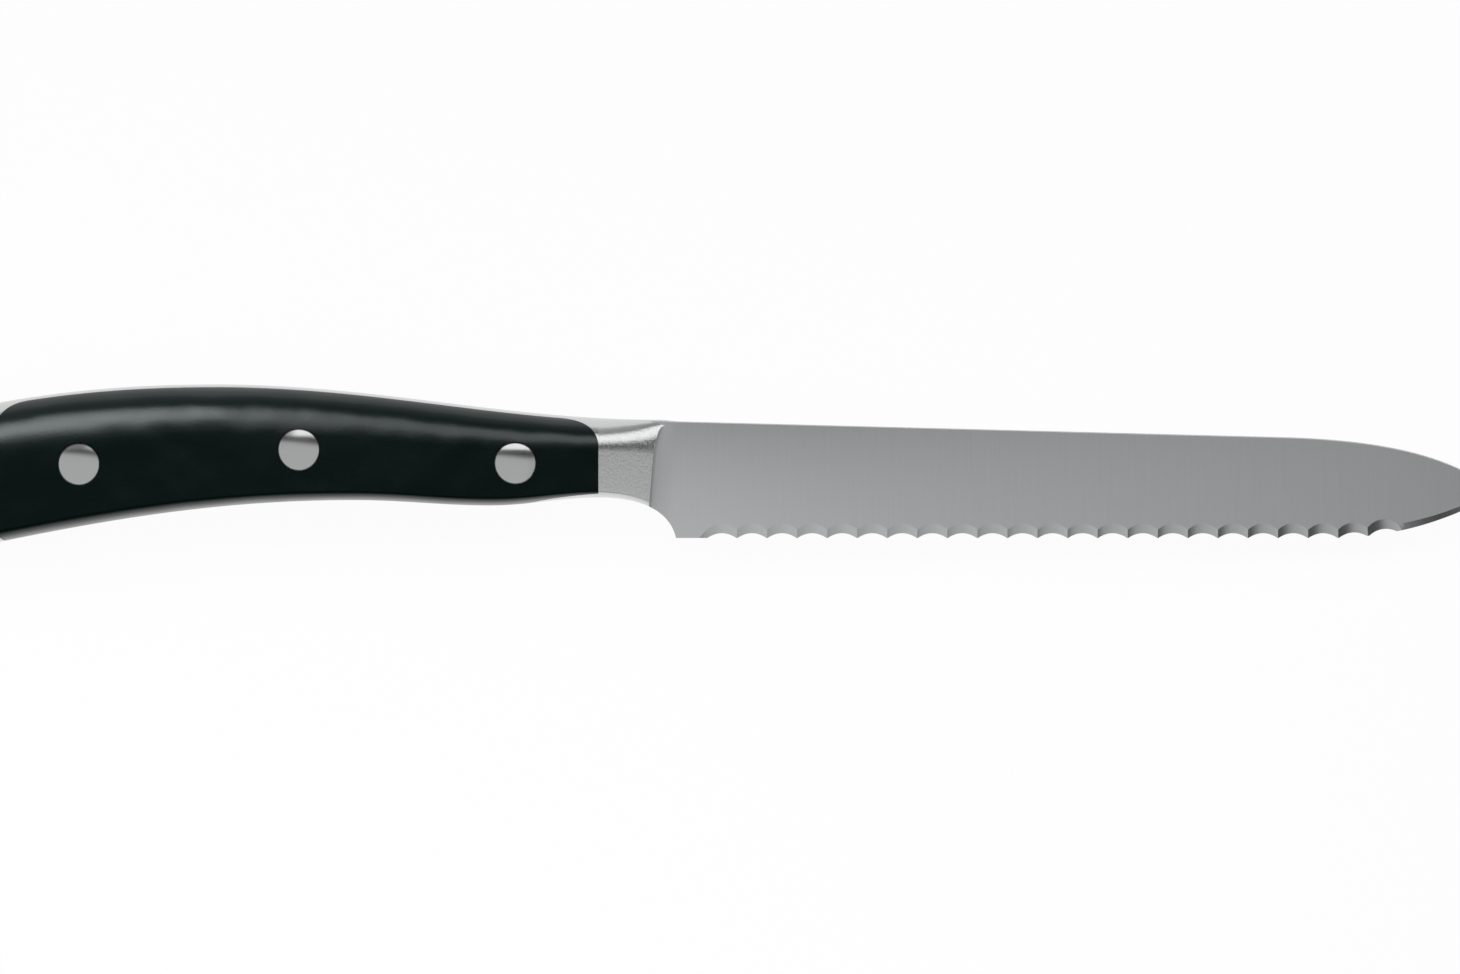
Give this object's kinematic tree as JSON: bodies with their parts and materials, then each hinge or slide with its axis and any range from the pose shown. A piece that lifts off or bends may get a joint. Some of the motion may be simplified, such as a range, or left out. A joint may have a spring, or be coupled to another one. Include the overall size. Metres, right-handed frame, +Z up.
{
  "type": "sausage knife",
  "caption": "Forged fixed-blade sausage knife with a scalloped edge ground from one side, curved bolsters at both ends of the handle, and black scales riveted to a full tang.",
  "frame": {"origin": "middle of the footprint, on the surface that the knife lies on with its left side down", "axes": "+X from the butt toward the point of the blade, +Y from the cutting edge toward the spine, +Z up through the thickness, out of the right side"},
  "size_m": [0.262, 0.028, 0.0146],
  "materials": {
    "blade_steel": "stainless blade steel, fine transverse satin grind",
    "black_plastic": "moulded black acetal, satin buffed",
    "rivet_steel": "rivet heads ground to the handle and polished"
  },
  "bodies": {
    "root": {"blade_and_tang": "blade_steel", "right_scale": "black_plastic", "left_scale": "black_plastic", "front_rivet_stud": "rivet_steel", "front_rivet_sleeve": "rivet_steel", "middle_rivet_stud": "rivet_steel", "middle_rivet_sleeve": "rivet_steel", "rear_rivet_stud": "rivet_steel", "rear_rivet_sleeve": "rivet_steel"}
  },
  "joints": []
}
